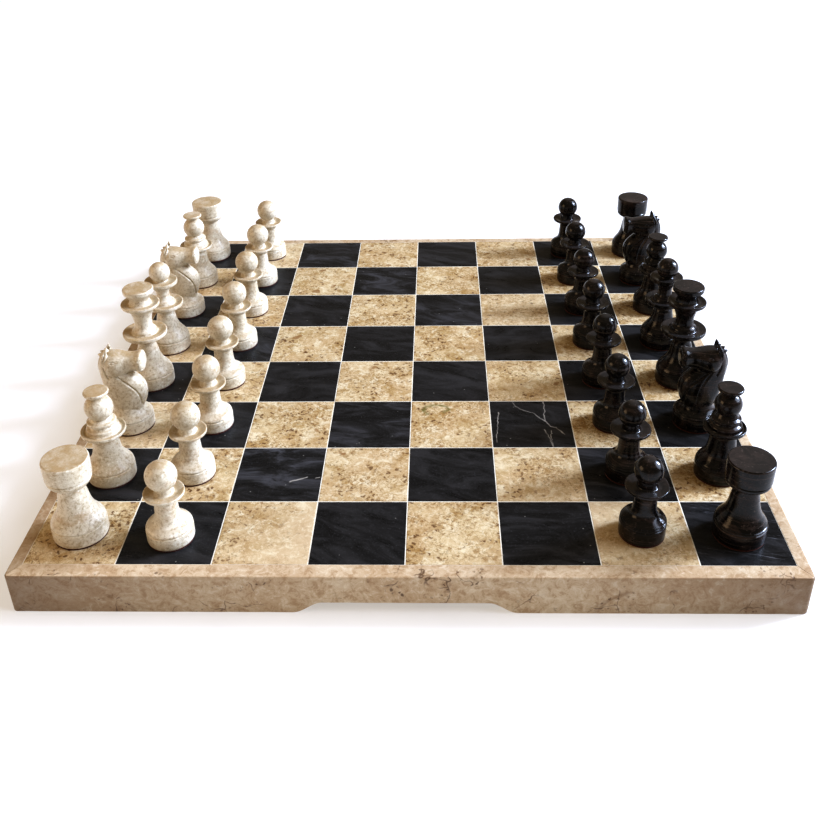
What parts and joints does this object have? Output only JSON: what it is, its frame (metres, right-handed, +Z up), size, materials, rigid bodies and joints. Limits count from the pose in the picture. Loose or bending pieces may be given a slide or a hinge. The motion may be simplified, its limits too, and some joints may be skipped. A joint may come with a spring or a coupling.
{
  "type": "chess set with board",
  "caption": "Marble chess set: tiled stone board in a mitred stone frame with a finger recess, and turned stone chessmen on felt pads, each free to lift off its square.",
  "frame": {"origin": "centre of the board's underside", "axes": "+X from the white men's side towards the black men's side, +Y from the rail with the finger recess towards the opposite rail, +Z up"},
  "size_m": [0.41, 0.4154, 0.096],
  "materials": {
    "white_marble": "polished cream marble with beige mottling",
    "black_marble": "high polish near-black marble with brown tints",
    "light_tile_stone": "satin beige fossil limestone with brown pits",
    "dark_tile_stone": "satin black marble with thin white veins",
    "rail_stone": "satin tan-beige limestone",
    "backing_board": "plain unfinished fibreboard"
  },
  "bodies": {
    "board": {"rail_front": "rail_stone", "rail_back": "rail_stone", "rail_left": "rail_stone", "rail_right": "rail_stone", "backing_panel": "backing_board", "light_tiles_file_h": "light_tile_stone", "dark_tiles_file_h": "dark_tile_stone", "light_tiles_file_g": "light_tile_stone", "dark_tiles_file_g": "dark_tile_stone", "light_tiles_file_f": "light_tile_stone", "dark_tiles_file_f": "dark_tile_stone", "light_tiles_file_e": "light_tile_stone", "dark_tiles_file_e": "dark_tile_stone", "light_tiles_file_d": "light_tile_stone", "dark_tiles_file_d": "dark_tile_stone", "light_tiles_file_c": "light_tile_stone", "dark_tiles_file_c": "dark_tile_stone", "light_tiles_file_b": "light_tile_stone", "dark_tiles_file_b": "dark_tile_stone", "light_tiles_file_a": "light_tile_stone", "dark_tiles_file_a": "dark_tile_stone"},
    "white_rook_h": {"white_rook_h": "white_marble"},
    "white_pawn_h": {"white_pawn_h": "white_marble"},
    "white_bishop_g": {"white_bishop_g": "white_marble"},
    "white_pawn_g": {"white_pawn_g": "white_marble"},
    "white_knight_f": {"white_knight_f": "white_marble"},
    "white_pawn_f": {"white_pawn_f": "white_marble"},
    "white_king": {"white_king": "white_marble"},
    "white_pawn_e": {"white_pawn_e": "white_marble"},
    "white_queen": {"white_queen": "white_marble"},
    "white_pawn_d": {"white_pawn_d": "white_marble"},
    "white_knight_c": {"white_knight_c": "white_marble"},
    "white_pawn_c": {"white_pawn_c": "white_marble"},
    "white_bishop_b": {"white_bishop_b": "white_marble"},
    "white_pawn_b": {"white_pawn_b": "white_marble"},
    "white_rook_a": {"white_rook_a": "white_marble"},
    "white_pawn_a": {"white_pawn_a": "white_marble"},
    "black_rook_h": {"black_rook_h": "black_marble"},
    "black_pawn_h": {"black_pawn_h": "black_marble"},
    "black_bishop_g": {"black_bishop_g": "black_marble"},
    "black_pawn_g": {"black_pawn_g": "black_marble"},
    "black_knight_f": {"black_knight_f": "black_marble"},
    "black_pawn_f": {"black_pawn_f": "black_marble"},
    "black_king": {"black_king": "black_marble"},
    "black_pawn_e": {"black_pawn_e": "black_marble"},
    "black_queen": {"black_queen": "black_marble"},
    "black_pawn_d": {"black_pawn_d": "black_marble"},
    "black_bishop_c": {"black_bishop_c": "black_marble"},
    "black_pawn_c": {"black_pawn_c": "black_marble"},
    "black_knight_b": {"black_knight_b": "black_marble"},
    "black_pawn_b": {"black_pawn_b": "black_marble"},
    "black_rook_a": {"black_rook_a": "black_marble"},
    "black_pawn_a": {"black_pawn_a": "black_marble"}
  },
  "joints": [
    {"name": "lift_white_rook_h", "type": "slide", "parent": "board", "child": "white_rook_h", "axis": [0, 0, 1], "range_m": [0, 0.1]},
    {"name": "lift_white_pawn_h", "type": "slide", "parent": "board", "child": "white_pawn_h", "axis": [0, 0, 1], "range_m": [0, 0.1]},
    {"name": "lift_white_bishop_g", "type": "slide", "parent": "board", "child": "white_bishop_g", "axis": [0, 0, 1], "range_m": [0, 0.1]},
    {"name": "lift_white_pawn_g", "type": "slide", "parent": "board", "child": "white_pawn_g", "axis": [0, 0, 1], "range_m": [0, 0.1]},
    {"name": "lift_white_knight_f", "type": "slide", "parent": "board", "child": "white_knight_f", "axis": [0, 0, 1], "range_m": [0, 0.1]},
    {"name": "lift_white_pawn_f", "type": "slide", "parent": "board", "child": "white_pawn_f", "axis": [0, 0, 1], "range_m": [0, 0.1]},
    {"name": "lift_white_king", "type": "slide", "parent": "board", "child": "white_king", "axis": [0, 0, 1], "range_m": [0, 0.1]},
    {"name": "lift_white_pawn_e", "type": "slide", "parent": "board", "child": "white_pawn_e", "axis": [0, 0, 1], "range_m": [0, 0.1]},
    {"name": "lift_white_queen", "type": "slide", "parent": "board", "child": "white_queen", "axis": [0, 0, 1], "range_m": [0, 0.1]},
    {"name": "lift_white_pawn_d", "type": "slide", "parent": "board", "child": "white_pawn_d", "axis": [0, 0, 1], "range_m": [0, 0.1]},
    {"name": "lift_white_knight_c", "type": "slide", "parent": "board", "child": "white_knight_c", "axis": [0, 0, 1], "range_m": [0, 0.1]},
    {"name": "lift_white_pawn_c", "type": "slide", "parent": "board", "child": "white_pawn_c", "axis": [0, 0, 1], "range_m": [0, 0.1]},
    {"name": "lift_white_bishop_b", "type": "slide", "parent": "board", "child": "white_bishop_b", "axis": [0, 0, 1], "range_m": [0, 0.1]},
    {"name": "lift_white_pawn_b", "type": "slide", "parent": "board", "child": "white_pawn_b", "axis": [0, 0, 1], "range_m": [0, 0.1]},
    {"name": "lift_white_rook_a", "type": "slide", "parent": "board", "child": "white_rook_a", "axis": [0, 0, 1], "range_m": [0, 0.1]},
    {"name": "lift_white_pawn_a", "type": "slide", "parent": "board", "child": "white_pawn_a", "axis": [0, 0, 1], "range_m": [0, 0.1]},
    {"name": "lift_black_rook_h", "type": "slide", "parent": "board", "child": "black_rook_h", "axis": [0, 0, 1], "range_m": [0, 0.1]},
    {"name": "lift_black_pawn_h", "type": "slide", "parent": "board", "child": "black_pawn_h", "axis": [0, 0, 1], "range_m": [0, 0.1]},
    {"name": "lift_black_bishop_g", "type": "slide", "parent": "board", "child": "black_bishop_g", "axis": [0, 0, 1], "range_m": [0, 0.1]},
    {"name": "lift_black_pawn_g", "type": "slide", "parent": "board", "child": "black_pawn_g", "axis": [0, 0, 1], "range_m": [0, 0.1]},
    {"name": "lift_black_knight_f", "type": "slide", "parent": "board", "child": "black_knight_f", "axis": [0, 0, 1], "range_m": [0, 0.1]},
    {"name": "lift_black_pawn_f", "type": "slide", "parent": "board", "child": "black_pawn_f", "axis": [0, 0, 1], "range_m": [0, 0.1]},
    {"name": "lift_black_king", "type": "slide", "parent": "board", "child": "black_king", "axis": [0, 0, 1], "range_m": [0, 0.1]},
    {"name": "lift_black_pawn_e", "type": "slide", "parent": "board", "child": "black_pawn_e", "axis": [0, 0, 1], "range_m": [0, 0.1]},
    {"name": "lift_black_queen", "type": "slide", "parent": "board", "child": "black_queen", "axis": [0, 0, 1], "range_m": [0, 0.1]},
    {"name": "lift_black_pawn_d", "type": "slide", "parent": "board", "child": "black_pawn_d", "axis": [0, 0, 1], "range_m": [0, 0.1]},
    {"name": "lift_black_bishop_c", "type": "slide", "parent": "board", "child": "black_bishop_c", "axis": [0, 0, 1], "range_m": [0, 0.1]},
    {"name": "lift_black_pawn_c", "type": "slide", "parent": "board", "child": "black_pawn_c", "axis": [0, 0, 1], "range_m": [0, 0.1]},
    {"name": "lift_black_knight_b", "type": "slide", "parent": "board", "child": "black_knight_b", "axis": [0, 0, 1], "range_m": [0, 0.1]},
    {"name": "lift_black_pawn_b", "type": "slide", "parent": "board", "child": "black_pawn_b", "axis": [0, 0, 1], "range_m": [0, 0.1]},
    {"name": "lift_black_rook_a", "type": "slide", "parent": "board", "child": "black_rook_a", "axis": [0, 0, 1], "range_m": [0, 0.1]},
    {"name": "lift_black_pawn_a", "type": "slide", "parent": "board", "child": "black_pawn_a", "axis": [0, 0, 1], "range_m": [0, 0.1]}
  ]
}
